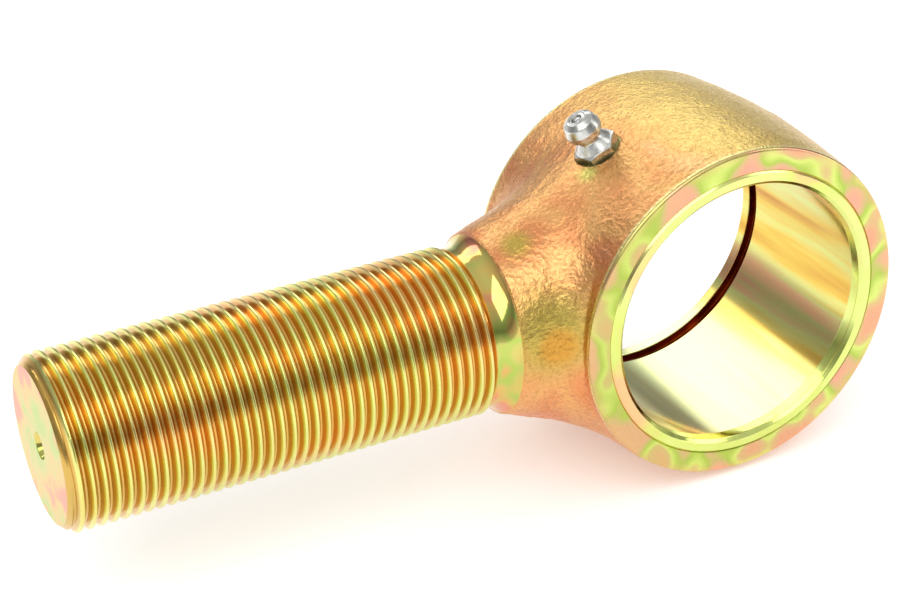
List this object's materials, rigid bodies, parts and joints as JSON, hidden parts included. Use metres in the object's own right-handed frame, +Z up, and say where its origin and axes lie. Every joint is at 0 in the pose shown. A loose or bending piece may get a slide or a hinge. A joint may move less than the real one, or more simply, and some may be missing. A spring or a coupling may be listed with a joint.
{
  "type": "rod end bearing",
  "caption": "Forged, yellow zinc plated rod end housing: threaded shank and a wide eye with a stop ring, a circlip groove and a grease nipple, open for a bearing insert.",
  "frame": {"origin": "centre of the eye's bore on the eye's mid-plane", "axes": "the shank points along -X; +Y runs along the bore towards its open end, the side with the circlip groove; +Z is up, on the grease nipple's side"},
  "size_m": [0.1519, 0.0412, 0.0669],
  "materials": {
    "forging": "yellow chromate zinc over a forged and turned surface",
    "ring": "yellow chromate zinc over a turned surface",
    "nipple": "bright zinc",
    "bright_steel": "bare, polished"
  },
  "bodies": {
    "rod_end": {"forged_rod_end": "forging", "bore_stop_ring": "ring", "grease_nipple_body": "nipple", "nipple_ball_spring": "bright_steel"},
    "check_ball": {"nipple_check_ball": "bright_steel"}
  },
  "joints": [
    {"name": "check_ball_lift", "type": "slide", "parent": "rod_end", "child": "check_ball", "axis": [0.5299, 0, -0.848], "range_m": [0, 0.001], "stiffness_N_per_m": 500, "springref_m": -0.001, "deforming": ["nipple_ball_spring"]}
  ]
}
